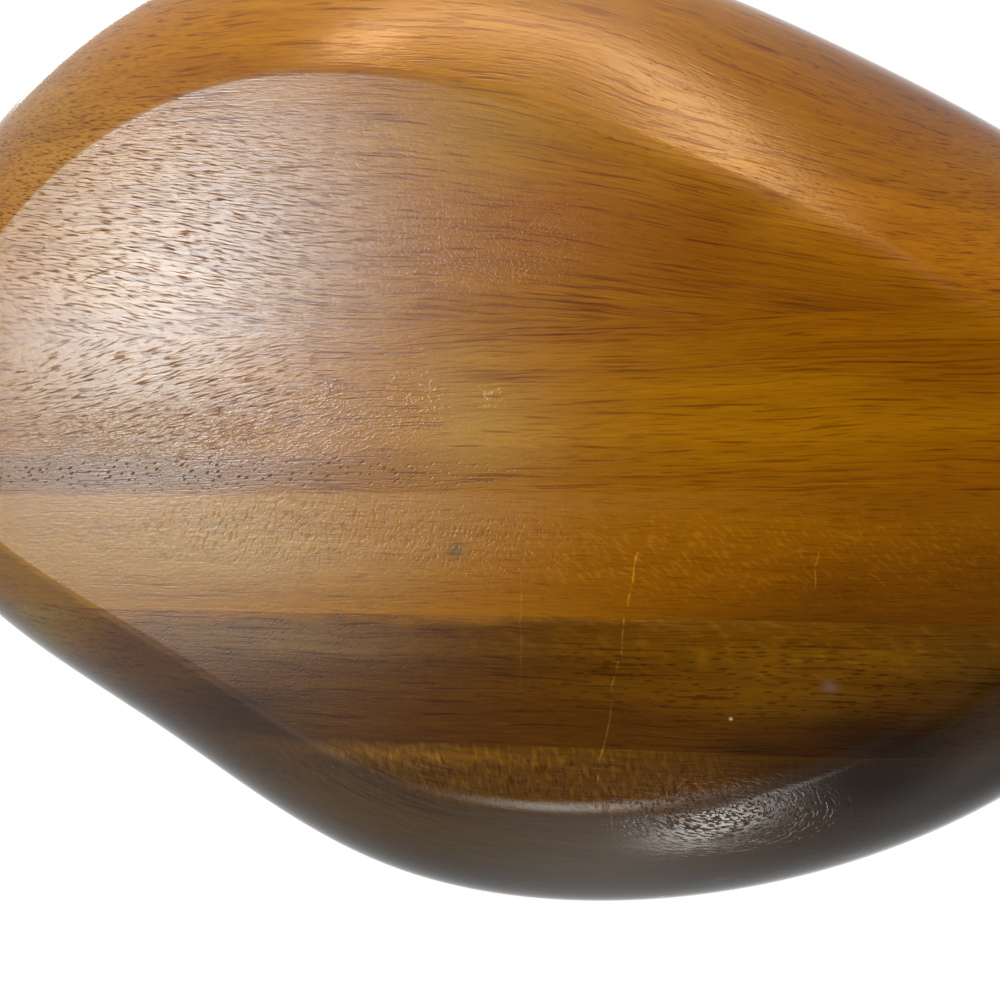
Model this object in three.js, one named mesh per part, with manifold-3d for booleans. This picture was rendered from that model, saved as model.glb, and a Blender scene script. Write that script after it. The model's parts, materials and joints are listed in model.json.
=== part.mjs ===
import * as THREE from 'three';
import Module from 'manifold-3d';
import { mergeVertices } from 'three/addons/utils/BufferGeometryUtils.js';

// Divided serving dish, carved from a blank of five edge-glued boards.
// Millimetres, +Z up. The flat foot rests on z = 0 and the grain runs along X.

// Overall size
const dishLength = 360;
const dishWidth = 254;
const dishHeight = 38;

// Outline at the widest level, as control points of a closed cubic spline.
// The curve is stretched to the length and width above.
const rimShape = [
  [171, -40], [188, 25], [141, 90], [54, 128], [-40, 129], [-100, 82],
  [-168, 47], [-189, -15], [-148, -84], [-71, -130], [19, -127], [102, -84],
];
const stepsPerSpan = 9;

// Outer side, from the edge of the flat foot up to the rounded rim
const sideReach = 33.4; // from the widest level in to the edge of the foot, on average
const sideSwell = 3.2; // how much further it reaches on the long sides, and less at the ends
const swellTurn = THREE.MathUtils.degToRad(110); // direction in which it reaches furthest
const footRound = 10; // radius that eases the edge of the foot, on average
const footSwell = 7; // how much larger that radius is in one direction, and smaller opposite
const footTurn = THREE.MathUtils.degToRad(30); // direction in which it is largest
const footAngle = THREE.MathUtils.degToRad(24); // slope of the side just above the foot
const sideFullness = 0.5; // how far the first slope is kept, as a share of the reach
const sideUpright = 15; // height of the steep part under the widest level
const rimRise = 6.5; // height from the widest level to the top
const rimRound = 4; // how far the rounded rim comes in at the top

// The two wells and the divider between them
const rimLand = 8; // from the widest level in to the lip of a well
const wallReach = 20; // from the lip in to where the floor is flat
const dividerLand = 8; // width of the divider's top
const dividerReach = 14; // from the divider's lip to where the floor is flat
const floorThickness = 10;
const dividerTurn = THREE.MathUtils.degToRad(-45); // it joins the two waists of the outline
const dividerSwing = 13; // how far its S curve swings to either side
const cornerBlend = 1.3; // roundness of a well's corners in plan
const lipPower = 1.7; // roundness of the lip
const covePower = 1.9; // roundness of the cove at the floor
const wellRays = 72;
const wellSteps = 11;

// Boards of the blank, from front to rear, with the glue lines between them
const glueLines = [-30, 11, 42, 75];
const boards = [
  { name: 'front_edge_board', color: 0x9c6526 },
  { name: 'front_centre_board', color: 0x94652d },
  { name: 'pale_centre_board', color: 0xa67c42 },
  { name: 'rear_centre_board', color: 0x6b4528 },
  { name: 'rear_edge_board', color: 0x7c4f24 },
];
const lacquer = { roughness: 0.32, metalness: 0 };

const wasm = await Module();
wasm.setup();

// Points of the closed spline, stretched to the wanted box and centred on it
function outlinePoints(shape, length, width) {
  const points = [];
  for (let span = 0; span < shape.length; span++) {
    const near = [-1, 0, 1, 2].map((k) => shape[(span + k + shape.length) % shape.length]);
    for (let step = 0; step < stepsPerSpan; step++) {
      const t = step / stepsPerSpan;
      const weights = [
        (1 - t) ** 3 / 6,
        (3 * t ** 3 - 6 * t ** 2 + 4) / 6,
        (-3 * t ** 3 + 3 * t ** 2 + 3 * t + 1) / 6,
        t ** 3 / 6,
      ];
      const point = new THREE.Vector2();
      near.forEach(([x, y], k) => point.add(new THREE.Vector2(x, y).multiplyScalar(weights[k])));
      points.push(point);
    }
  }
  const box = new THREE.Box2().setFromPoints(points);
  const size = box.getSize(new THREE.Vector2());
  const centre = box.getCenter(new THREE.Vector2());
  const stretch = new THREE.Vector2(length / size.x, width / size.y);
  return points.map((point) => point.sub(centre).multiply(stretch));
}

// Unit directions that point into the dish, square to a closed outline
function inwardDirections(points) {
  return points.map((point, i) => {
    const before = points[(i + points.length - 1) % points.length];
    const after = points[(i + 1) % points.length];
    const along = new THREE.Vector2().subVectors(after, before).normalize();
    return new THREE.Vector2(-along.y, along.x);
  });
}

const outline = outlinePoints(rimShape, dishLength, dishWidth);
const inward = inwardDirections(outline);
const widestHeight = dishHeight - rimRise;

// Section of the outer side where it reaches in by the given distance, above a foot
// eased by the given radius. Each point is [distance in from the widest level, height].
function sideSection(reach, easing) {
  const section = [];
  const edgeSet = easing * Math.tan(footAngle / 2);
  const easingSteps = 3;
  for (let i = 0; i <= easingSteps; i++) {
    const turn = (footAngle * i) / easingSteps;
    section.push([reach + edgeSet - easing * Math.sin(turn), easing * (1 - Math.cos(turn))]);
  }
  const [startIn, startUp] = section[easingSteps];
  const slopeRun = reach * sideFullness;
  const side = new THREE.CubicBezierCurve(
    new THREE.Vector2(startIn, startUp),
    new THREE.Vector2(startIn - slopeRun, startUp + slopeRun * Math.tan(footAngle)),
    new THREE.Vector2(0, widestHeight - sideUpright),
    new THREE.Vector2(0, widestHeight),
  );
  side.getPoints(8).slice(1).forEach((point) => section.push([point.x, point.y]));
  const roundSteps = 4;
  for (let i = 1; i <= roundSteps; i++) {
    const turn = (Math.PI / 2) * (i / roundSteps);
    section.push([rimRound * (1 - Math.cos(turn)), widestHeight + rimRise * Math.sin(turn)]);
  }
  return section;
}

// Closed solid through rings of equal length that run counter-clockwise and rise
function loft(rings) {
  const positions = [];
  const indices = [];
  const count = rings[0].length;
  rings.forEach((ring) => ring.forEach((point) => positions.push(point.x, point.y, point.z)));
  for (let level = 0; level + 1 < rings.length; level++) {
    for (let j = 0; j < count; j++) {
      const a = level * count + j;
      const b = level * count + ((j + 1) % count);
      indices.push(a, b, b + count, a, b + count, a + count);
    }
  }
  const lowest = rings[0];
  const highest = rings[rings.length - 1];
  [lowest, highest].forEach((ring, end) => {
    const middle = new THREE.Vector3();
    ring.forEach((point) => middle.addScaledVector(point, 1 / count));
    const hub = positions.length / 3;
    const first = end === 0 ? 0 : (rings.length - 1) * count;
    positions.push(middle.x, middle.y, middle.z);
    for (let j = 0; j < count; j++) {
      const a = first + j;
      const b = first + ((j + 1) % count);
      indices.push(hub, end === 0 ? b : a, end === 0 ? a : b);
    }
  });
  const geometry = new THREE.BufferGeometry();
  geometry.setAttribute('position', new THREE.Float32BufferAttribute(positions, 3));
  geometry.setIndex(indices);
  return geometry;
}

function toSolid(geometry) {
  const bare = geometry.clone();
  bare.deleteAttribute('normal');
  bare.deleteAttribute('uv');
  const merged = mergeVertices(bare);
  const vertProperties = new Float32Array(merged.attributes.position.array);
  const triVerts = new Uint32Array(merged.index.array);
  return new wasm.Manifold(new wasm.Mesh({ numProp: 3, vertProperties, triVerts }));
}

function toGeometry(solid) {
  const { vertProperties, triVerts } = solid.getMesh();
  const geometry = new THREE.BufferGeometry();
  geometry.setAttribute('position', new THREE.BufferAttribute(vertProperties, 3));
  geometry.setIndex(new THREE.BufferAttribute(triVerts, 1));
  const faceted = geometry.toNonIndexed();
  faceted.computeVertexNormals();
  return faceted;
}

// The outer form: one section swept round the outline
function outerForm() {
  const sections = outline.map((point) => {
    const swell = sideSwell * Math.cos(2 * (point.angle() - swellTurn));
    const easing = footRound + footSwell * Math.cos(point.angle() - footTurn);
    return sideSection(sideReach + swell, easing);
  });
  const rings = sections[0].map((_, level) => outline.map((point, i) => {
    const [distance, height] = sections[i][level];
    const placed = point.clone().addScaledVector(inward[i], distance);
    return new THREE.Vector3(placed.x, placed.y, height);
  }));
  return loft(rings);
}

// Centre line of the divider: an S curve from waist to waist of the outline
function dividerLine() {
  const along = new THREE.Vector2(Math.cos(dividerTurn), Math.sin(dividerTurn));
  const across = new THREE.Vector2(-along.y, along.x);
  const waist = outline.reduce((best, point) => (
    point.clone().normalize().dot(along) > best.clone().normalize().dot(along) ? point : best
  ));
  const halfRun = waist.length();
  const overrun = 1.4;
  const steps = 60;
  const points = [];
  for (let i = 0; i <= steps; i++) {
    const share = overrun * ((2 * i) / steps - 1);
    const bend = Math.abs(share) < 1 ? dividerSwing * Math.sin(Math.PI * share) : 0;
    const point = along.clone().multiplyScalar(share * halfRun).addScaledVector(across, bend);
    points.push(point);
  }
  return points;
}

// Nearest distance from a point to a chain of points, and the side it lies on
function distanceTo(chain, x, y, closed) {
  let nearest = Infinity;
  let side = 1;
  const last = closed ? chain.length : chain.length - 1;
  for (let i = 0; i < last; i++) {
    const a = chain[i];
    const b = chain[(i + 1) % chain.length];
    const ex = b.x - a.x;
    const ey = b.y - a.y;
    const share = ((x - a.x) * ex + (y - a.y) * ey) / (ex * ex + ey * ey);
    const t = Math.min(1, Math.max(0, share));
    const dx = x - a.x - ex * t;
    const dy = y - a.y - ey * t;
    const distance = Math.hypot(dx, dy);
    if (distance < nearest) {
      nearest = distance;
      side = ex * dy - ey * dx >= 0 ? 1 : -1;
    }
  }
  return nearest * side;
}

const divider = dividerLine();

// How far into a well a point lies: 0 at the lip, 1 where the floor is flat
function wellShare(x, y, side) {
  const fromRim = (distanceTo(outline, x, y, true) - rimLand) / wallReach;
  const fromDivider = (side * distanceTo(divider, x, y, false) - dividerLand / 2) / dividerReach;
  const near = Math.max(cornerBlend - Math.abs(fromRim - fromDivider), 0) / cornerBlend;
  return Math.min(fromRim, fromDivider) - (near * near * cornerBlend) / 4;
}

// The cutter for one well: rings found along rays from a point in the well
function wellForm(side) {
  const centre = new THREE.Vector2(0.16 * dishLength, 0.15 * dishWidth).multiplyScalar(side);
  const wellDepth = dishHeight - floorThickness;
  const ringAt = (share, height) => Array.from({ length: wellRays }, (_, ray) => {
    const angle = (ray / wellRays) * 2 * Math.PI;
    let inside = 0;
    let outside = dishLength;
    for (let halving = 0; halving < 30; halving++) {
      const middle = (inside + outside) / 2;
      const x = centre.x + middle * Math.cos(angle);
      const y = centre.y + middle * Math.sin(angle);
      if (wellShare(x, y, side) > share) inside = middle;
      else outside = middle;
    }
    return new THREE.Vector3(
      centre.x + inside * Math.cos(angle),
      centre.y + inside * Math.sin(angle),
      height,
    );
  });
  const rings = [];
  for (let i = wellSteps; i >= 0; i--) {
    const share = (1 - Math.cos((Math.PI * i) / wellSteps)) / 2;
    const height = floorThickness + wellDepth * (1 - share ** lipPower) ** covePower;
    rings.push(ringAt(share, height));
  }
  rings.push(ringAt(0, dishHeight + rimRise));
  return loft(rings);
}

const carved = toSolid(outerForm())
  .subtract(toSolid(wellForm(1)))
  .subtract(toSolid(wellForm(-1)));

const dish = new THREE.Group();
dish.name = 'divided_serving_dish';
boards.forEach(({ name, color }, i) => {
  const front = i === 0 ? -dishWidth : glueLines[i - 1];
  const rear = i === boards.length - 1 ? dishWidth : glueLines[i];
  const stock = new THREE.BoxGeometry(2 * dishLength, rear - front, 4 * dishHeight);
  stock.translate(0, (front + rear) / 2, 0);
  const board = toGeometry(carved.intersect(toSolid(stock)));
  const mesh = new THREE.Mesh(board, new THREE.MeshStandardMaterial({ color, ...lacquer }));
  mesh.name = name;
  dish.add(mesh);
});

export default dish;
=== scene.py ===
import json
import math

import bpy
import numpy as np
from mathutils import Matrix, Vector

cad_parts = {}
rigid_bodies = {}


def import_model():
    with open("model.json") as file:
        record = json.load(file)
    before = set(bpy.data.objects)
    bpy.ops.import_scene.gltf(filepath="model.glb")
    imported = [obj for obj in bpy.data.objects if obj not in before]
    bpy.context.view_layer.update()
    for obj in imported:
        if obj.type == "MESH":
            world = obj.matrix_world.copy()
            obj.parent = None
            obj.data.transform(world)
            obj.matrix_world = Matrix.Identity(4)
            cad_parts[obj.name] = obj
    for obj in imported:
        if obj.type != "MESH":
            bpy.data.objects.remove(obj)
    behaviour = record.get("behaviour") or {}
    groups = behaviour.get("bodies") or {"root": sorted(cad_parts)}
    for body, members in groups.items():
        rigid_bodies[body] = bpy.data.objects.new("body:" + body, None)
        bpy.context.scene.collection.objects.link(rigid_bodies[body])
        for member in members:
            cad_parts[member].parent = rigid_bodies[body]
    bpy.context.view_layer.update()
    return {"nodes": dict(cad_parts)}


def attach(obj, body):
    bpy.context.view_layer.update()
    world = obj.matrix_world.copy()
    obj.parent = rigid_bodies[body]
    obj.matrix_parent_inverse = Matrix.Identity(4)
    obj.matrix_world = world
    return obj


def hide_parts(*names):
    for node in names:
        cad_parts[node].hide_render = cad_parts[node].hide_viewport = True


for leftover in list(bpy.data.objects):
    bpy.data.objects.remove(leftover)
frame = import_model()
scene = bpy.context.scene
scene.view_settings.view_transform = "Standard"
mm = 0.001
mmPerMetre = 1000
mergeGap = mm / 500  # points closer than this are one point
print("frame loaded:", ", ".join(sorted(frame["nodes"])))


# Camera: it looks up at the underside from below and slightly to the right
cameraSet = {
    "target": (9.67 * mm, 12.92 * mm, 0),
    "back": (0.312711, -0.177261, -0.933162),
    "right": (0.949845, 0.060824, 0.306747),
    "distance": 0.4501,
    "lens": 66.69,
    "sensorWidth": 36,
    "clipStart": 0.01,
}


def placeCamera(settings):
    camera = bpy.data.objects.new("photoCamera", bpy.data.cameras.new("photoCamera"))
    scene.collection.objects.link(camera)
    camera.data.lens = settings["lens"]
    camera.data.sensor_width = settings["sensorWidth"]
    camera.data.clip_start = settings["clipStart"]
    back = Vector(settings["back"]).normalized()
    right = Vector(settings["right"])
    right = (right - back * right.dot(back)).normalized()
    turn = Matrix((right, back.cross(right), back)).transposed()
    place = Vector(settings["target"]) + back * settings["distance"]
    camera.matrix_world = Matrix.Translation(place) @ turn.to_4x4()
    scene.camera = camera


placeCamera(cameraSet)
print("camera placed")


# A wire is one socket of a node tree; sums and products of wires add Math nodes
class Wire:
    def __init__(self, sheet, node, outlet):
        self.sheet = sheet
        self.node = node
        self.socket = node.outputs[outlet]

    def of(self, outlet):
        return Wire(self.sheet, self.node, outlet)

    def math(self, operation, first, second=None, clamp=False):
        sockets = {0: first} if second is None else {0: first, 1: second}
        settings = {"operation": operation, "use_clamp": clamp}
        return self.sheet.add("ShaderNodeMath", settings, sockets)

    def __add__(self, other):
        return self.math("ADD", self, other)

    def __radd__(self, other):
        return self.math("ADD", other, self)

    def __sub__(self, other):
        return self.math("SUBTRACT", self, other)

    def __rsub__(self, other):
        return self.math("SUBTRACT", other, self)

    def __mul__(self, other):
        return self.math("MULTIPLY", self, other)

    def __rmul__(self, other):
        return self.math("MULTIPLY", other, self)

    def __truediv__(self, other):
        return self.math("DIVIDE", self, other)

    def __pow__(self, other):
        return self.math("POWER", self, other)

    def __abs__(self):
        return self.math("ABSOLUTE", self)

    def sine(self):
        return self.math("SINE", self)

    def cosine(self):
        return self.math("COSINE", self)

    def above(self, low):
        return self.math("MAXIMUM", self, low)

    def held(self):
        return self.math("ADD", self, 0, clamp=True)


# A sheet is a node tree that is being drawn
class Sheet:
    def __init__(self, tree):
        self.tree = tree
        tree.nodes.clear()

    def add(self, kind, settings={}, sockets={}, outlet=0):
        node = self.tree.nodes.new(kind)
        for name, value in settings.items():
            if name == "stops":
                self.setStops(node.color_ramp, value)
            else:
                setattr(node, name, value)
        for name, value in sockets.items():
            if isinstance(value, Wire):
                self.tree.links.new(value.socket, node.inputs[name])
            else:
                node.inputs[name].default_value = value
        return Wire(self, node, outlet) if len(node.outputs) else node

    def setStops(self, ramp, stops):
        while len(ramp.elements) < len(stops):
            ramp.elements.new(1)
        for element, (position, shade) in zip(ramp.elements, stops):
            element.position = position
            element.color = shade if len(shade) == 4 else (*shade, 1)

    def vector(self, operation, first, second=None, **more):
        sockets = {0: first} if second is None else {0: first, 1: second}
        sockets.update(more)
        return self.add("ShaderNodeVectorMath", {"operation": operation}, sockets)

    def join(self, x, y, z):
        return self.add("ShaderNodeCombineXYZ", {}, {0: x, 1: y, 2: z})


def newTree(name, inputs):
    tree = bpy.data.node_groups.new(name, "GeometryNodeTree")
    sheet = Sheet(tree)
    tree.interface.new_socket("Geometry", in_out="INPUT", socket_type="NodeSocketGeometry")
    tree.interface.new_socket("Geometry", in_out="OUTPUT", socket_type="NodeSocketGeometry")
    for label, kind in inputs.items():
        tree.interface.new_socket(label, in_out="INPUT", socket_type="NodeSocket" + kind)
    return sheet, sheet.add("NodeGroupInput")


# The modifier's inputs are set by identifier, and its result becomes a plain mesh
def bakeTree(carrier, sheet, values):
    modifier = carrier.modifiers.new(sheet.tree.name, "NODES")
    modifier.node_group = sheet.tree
    for item in sheet.tree.interface.items_tree:
        if item.in_out == "INPUT" and item.name in values:
            modifier[item.identifier] = values[item.name]
    carrier.update_tag()
    depsgraph = bpy.context.evaluated_depsgraph_get()
    mesh = bpy.data.meshes.new_from_object(carrier.evaluated_get(depsgraph))
    carrier.modifiers.remove(modifier)
    return mesh


def newObject(name, mesh):
    made = bpy.data.objects.new(name, mesh)
    scene.collection.objects.link(made)
    return made


# The dish: one section swept round the outline, with two wells and an S divider.
# The swell and the foot's edge vary with direction, and are largest at their turns.
dishShape = {
    "length": 360 * mm,
    "width": 254 * mm,
    "height": 38 * mm,
    "rimPoints": [
        (171, -40), (188, 25), (141, 90), (54, 128), (-40, 129), (-100, 82),
        (-168, 47), (-189, -15), (-148, -84), (-71, -130), (19, -127), (102, -84),
    ],
    "stepsPerSpan": 32,
    "ringsPerPart": 18,
    "sideReach": 33.4 * mm,
    "sideSwell": 3.2 * mm,
    "swellTurn": math.radians(110),
    "footRound": 10 * mm,
    "footSwell": 7 * mm,
    "footTurn": math.radians(30),
    "footSlope": math.radians(24),
    "sideFullness": 0.5,
    "sideUpright": 15 * mm,
    "rimRise": 6.5 * mm,
    "rimRound": 4 * mm,
}
wellShape = {
    "rimLand": 8 * mm,
    "wallReach": 20 * mm,
    "dividerLand": 8 * mm,
    "dividerReach": 14 * mm,
    "floorThickness": 10 * mm,
    "dividerTurn": math.radians(-45),
    "dividerSwing": 13 * mm,
    "cornerBlend": 1.3,
    "lipPower": 1.7,
    "covePower": 1.9,
    "dividerRun": 1.4,  # the divider's line runs on past the outline
    "dividerSteps": 40,
    "dividerStride": 4,  # every fourth outline point gives the line's length
    "rimStride": 3,  # and every third how far away the rim is
    "centre": (0.16, 0.15),  # as shares of the length and the width
    "rays": 240,
    "rings": 34,
    "halvings": 24,
}


# A closed uniform cubic spline, stretched to the dish's length and width
def outlinePoints(shape):
    controls = np.array(shape["rimPoints"], float)
    steps = shape["stepsPerSpan"]
    t = (np.arange(steps) / steps)[:, None]
    weights = [(1 - t) ** 3, 3 * t**3 - 6 * t**2 + 4, -3 * t**3 + 3 * t**2 + 3 * t + 1, t**3]
    points = []
    for span in range(len(controls)):
        near = [controls[(span + k) % len(controls)] for k in (-1, 0, 1, 2)]
        points.append(sum(w * n for w, n in zip(weights, near)) / 6)
    points = np.concatenate(points)
    low, high = points.min(0), points.max(0)
    wanted = np.array([shape["length"], shape["width"]])
    return (points - (low + high) / 2) * wanted / (high - low)


def inwardDirections(points):
    along = np.roll(points, -1, 0) - np.roll(points, 1, 0)
    along /= np.linalg.norm(along, axis=1, keepdims=True)
    return np.stack([-along[:, 1], along[:, 0]], 1)


# Distance from many points to a chain of points, positive on the chain's left
def distanceTo(chain, spots, closed):
    ends = np.roll(chain, -1, 0)
    starts = chain if closed else chain[:-1]
    ends = ends if closed else ends[:-1]
    run = ends - starts
    offset = spots[:, None] - starts[None]
    share = (offset * run).sum(2) / (run * run).sum(1)
    gap = offset - run * np.clip(share, 0, 1)[..., None]
    distance = np.hypot(gap[..., 0], gap[..., 1])
    nearest = distance.argmin(1)
    rows = np.arange(len(spots))
    turn = run[nearest]
    away = gap[rows, nearest]
    side = np.where(turn[:, 0] * away[:, 1] - turn[:, 1] * away[:, 0] >= 0, 1, -1)
    return distance[rows, nearest] * side


def dividerLine(outline, shape):
    along = np.array([math.cos(shape["dividerTurn"]), math.sin(shape["dividerTurn"])])
    across = np.array([-along[1], along[0]])
    lengths = np.linalg.norm(outline, axis=1)
    halfRun = lengths[(outline @ along / lengths).argmax()]
    steps = shape["dividerSteps"]
    share = shape["dividerRun"] * (np.arange(2 * steps + 1) / steps - 1)
    bend = np.where(np.abs(share) < 1, shape["dividerSwing"] * np.sin(np.pi * share), 0)
    return share[:, None] * halfRun * along + bend[:, None] * across


# The cutter for the wells: rings of rising height, found along rays by halving
def wellCutter(outline, dish, shape):
    divider = dividerLine(outline[::shape["dividerStride"]], shape)
    coarse = outline[::shape["rimStride"]]

    def wellShare(spots, side):
        fromRim = (distanceTo(coarse, spots, True) - shape["rimLand"]) / shape["wallReach"]
        line = side * distanceTo(divider, spots, False)
        fromDivider = (line - shape["dividerLand"] / 2) / shape["dividerReach"]
        blend = shape["cornerBlend"]
        near = np.clip(blend - np.abs(fromRim - fromDivider), 0, None) / blend
        return np.minimum(fromRim, fromDivider) - near**2 * blend / 4

    rays = np.arange(shape["rays"]) / shape["rays"] * 2 * np.pi
    steps = np.arange(shape["rings"], -1, -1) / shape["rings"]
    shares = (1 - np.cos(np.pi * steps)) / 2
    depth = dish["height"] - shape["floorThickness"]
    lift = depth * (1 - shares ** shape["lipPower"]) ** shape["covePower"]
    heights = shape["floorThickness"] + lift
    vertices, faces = [], []
    for side in (1, -1):
        centre = side * np.array(shape["centre"]) * (dish["length"], dish["width"])
        beams = np.stack([np.cos(rays), np.sin(rays)], 1)
        wanted = np.repeat(shares, len(rays))
        beams = np.tile(beams, (len(shares), 1))
        inside = np.zeros(len(beams))
        outside = np.full(len(beams), dish["length"])
        for halving in range(shape["halvings"]):
            middle = (inside + outside) / 2
            deep = wellShare(centre + beams * middle[:, None], side) > wanted
            inside = np.where(deep, middle, inside)
            outside = np.where(deep, outside, middle)
        flat = centre + beams * inside[:, None]
        rings = np.column_stack([flat, np.repeat(heights, len(rays))])
        top = rings[-len(rays):].copy()
        top[:, 2] = dish["height"] + dish["rimRise"]
        first = len(vertices)
        vertices += rings.tolist() + top.tolist()
        vertices += [(*centre, heights[0]), (*centre, top[0, 2])]
        count, levels = len(rays), len(shares) + 1
        hub = first + count * levels
        for i in range(count):
            j = (i + 1) % count
            for level in range(levels - 1):
                a, b = first + level * count + i, first + level * count + j
                faces.append((a, b, b + count, a + count))
            last = first + count * (levels - 1)
            faces += [(hub, first + j, first + i), (hub + 1, last + i, last + j)]
    mesh = bpy.data.meshes.new("wellCutter")
    mesh.from_pydata(vertices, [], faces)
    return newObject("wellCutter", mesh)


# Tree that sweeps the side section round the outline and takes the wells out
def carvedBlankTree():
    sheet, given = newTree("carvedBlank", {
        "Height": "Float", "Rings per part": "Int", "Side reach": "Float",
        "Side swell": "Float", "Swell turn": "Float", "Foot round": "Float",
        "Foot swell": "Float", "Foot turn": "Float",
        "Foot slope": "Float", "Side fullness": "Float", "Side upright": "Float",
        "Rim rise": "Float", "Rim round": "Float", "Wells": "Object", "Finish": "Material",
    })

    def store(geometry, name, kind, value):
        settings = {"data_type": kind, "domain": "POINT"}
        sockets = {"Geometry": geometry, "Name": name, "Value": value}
        return sheet.add("GeometryNodeStoreNamedAttribute", settings, sockets)

    def read(name, kind):
        return sheet.add("GeometryNodeInputNamedAttribute", {"data_type": kind}, {"Name": name})

    position = sheet.add("GeometryNodeInputPosition")
    rail = store(given.of("Geometry"), "rim", "FLOAT_VECTOR", position)
    rail = sheet.add("GeometryNodeMeshToCurve", {}, {0: rail})
    rings = given.of("Rings per part")
    parts = 5  # foot, foot edge, side, rim, top
    section = sheet.add("GeometryNodeMeshLine", {}, {
        "Count": rings * parts + 1, "Offset": (0, 0, mm),
    })
    station = sheet.add("GeometryNodeInputIndex") / rings
    section = store(section, "station", "FLOAT", station)
    section = sheet.add("GeometryNodeMeshToCurve", {}, {0: section})
    swept = sheet.add("GeometryNodeCurveToMesh", {}, {0: rail, 1: section})

    rim = read("rim", "FLOAT_VECTOR")
    station = read("station", "FLOAT")
    inward = read("inward", "FLOAT_VECTOR")
    spot = sheet.add("ShaderNodeSeparateXYZ", {}, {0: rim})
    turn = spot.math("ARCTAN2", spot.of("Y"), spot.of("X"))
    swell = given.of("Side swell") * ((turn - given.of("Swell turn")) * 2).cosine()
    reach = given.of("Side reach") + swell

    # Foot edge, then the side as a Bezier curve, then the rounded rim
    slope = given.of("Foot slope")
    footSwell = given.of("Foot swell") * (turn - given.of("Foot turn")).cosine()
    footRound = given.of("Foot round") + footSwell
    widest = given.of("Height") - given.of("Rim rise")
    edgeSet = footRound * slope.math("TANGENT", slope * 0.5)
    eased = slope * (station - 1).held()
    depthIn = reach + edgeSet - footRound * eased.sine()
    height = footRound * (1 - eased.cosine())
    startIn = reach + edgeSet - footRound * slope.sine()
    startUp = footRound * (1 - slope.cosine())
    run = reach * given.of("Side fullness")
    t = (station - 2).held()
    s = 1 - t
    depthIn = depthIn + startIn * (s**3 - 1) + 3 * s * s * t * (startIn - run)
    secondUp = startUp + run * slope.math("TANGENT", slope)
    climb = 3 * s * s * t * secondUp + 3 * s * t * t * (widest - given.of("Side upright"))
    height = height + startUp * (s**3 - 1) + climb + widest * t**3
    roundOver = (station - 3).held() * (math.pi / 2)
    depthIn = depthIn + given.of("Rim round") * (1 - roundOver.cosine())
    height = height + given.of("Rim rise") * roundOver.sine()

    # The flat foot and the top close on their middle
    spread = (1 - (1 - station.held()) ** 2) * (1 - (station - 4).held() ** 2)
    place = sheet.vector("SCALE", inward, Scale=depthIn)
    place = sheet.vector("SCALE", sheet.vector("ADD", rim, place), Scale=spread)
    place = sheet.vector("ADD", place, sheet.join(0, 0, height))
    swept = sheet.add("GeometryNodeSetPosition", {}, {"Geometry": swept, "Position": place})
    sockets = {"Geometry": swept, "Distance": mergeGap}
    swept = sheet.add("GeometryNodeMergeByDistance", {}, sockets)
    wells = sheet.add("GeometryNodeObjectInfo", {}, {"Object": given.of("Wells")})
    settings = {"operation": "DIFFERENCE", "solver": "MANIFOLD"}
    carved = sheet.add("GeometryNodeMeshBoolean", settings, {
        "Mesh 1": swept, "Mesh 2": wells.of("Geometry"),
    })
    for name in ("rim", "inward", "station"):
        sockets = {"Geometry": carved, "Name": name}
        carved = sheet.add("GeometryNodeRemoveAttribute", {}, sockets)
    carved = sheet.add("GeometryNodeRealizeInstances", {}, {0: carved})
    sockets = {"Geometry": carved, "Material": given.of("Finish")}
    carved = sheet.add("GeometryNodeSetMaterial", {}, sockets)
    sheet.add("NodeGroupOutput", {}, {0: carved})
    return sheet


# Tree that saws one board out of the carved blank
def boardTree():
    sheet, given = newTree("boardCut", {
        "Front": "Float", "Rear": "Float", "Stock length": "Float",
        "Stock height": "Float", "Finish": "Material",
    })
    front, rear = given.of("Front"), given.of("Rear")
    stock = sheet.add("GeometryNodeMeshCube", {}, {
        "Size": sheet.join(given.of("Stock length"), rear - front, given.of("Stock height")),
    })
    stock = sheet.add("GeometryNodeTransform", {}, {
        "Geometry": stock, "Translation": sheet.join(0, (front + rear) * 0.5, 0),
    })
    settings = {"operation": "INTERSECT", "solver": "MANIFOLD"}
    board = sheet.add("GeometryNodeMeshBoolean", settings, {"Mesh 2": given.of("Geometry")})
    sheet.tree.links.new(stock.socket, board.node.inputs["Mesh 2"])

    # The sawn faces stay flat, and the carved ones are shaded smooth
    position = sheet.add("GeometryNodeInputPosition")
    level = sheet.add("ShaderNodeSeparateXYZ", {}, {0: position}).of("Y")
    fromSaw = level.math("MINIMUM", abs(level - front), abs(level - rear))
    curved = fromSaw.math("GREATER_THAN", fromSaw, mergeGap)
    for domain in ("FACE", "EDGE"):
        sockets = {"Geometry": board, "Shade Smooth": curved}
        board = sheet.add("GeometryNodeSetShadeSmooth", {"domain": domain}, sockets)
    board = sheet.add("GeometryNodeRealizeInstances", {}, {0: board})
    sockets = {"Geometry": board, "Material": given.of("Finish")}
    board = sheet.add("GeometryNodeSetMaterial", {}, sockets)
    sheet.add("NodeGroupOutput", {}, {0: board})
    return sheet


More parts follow.
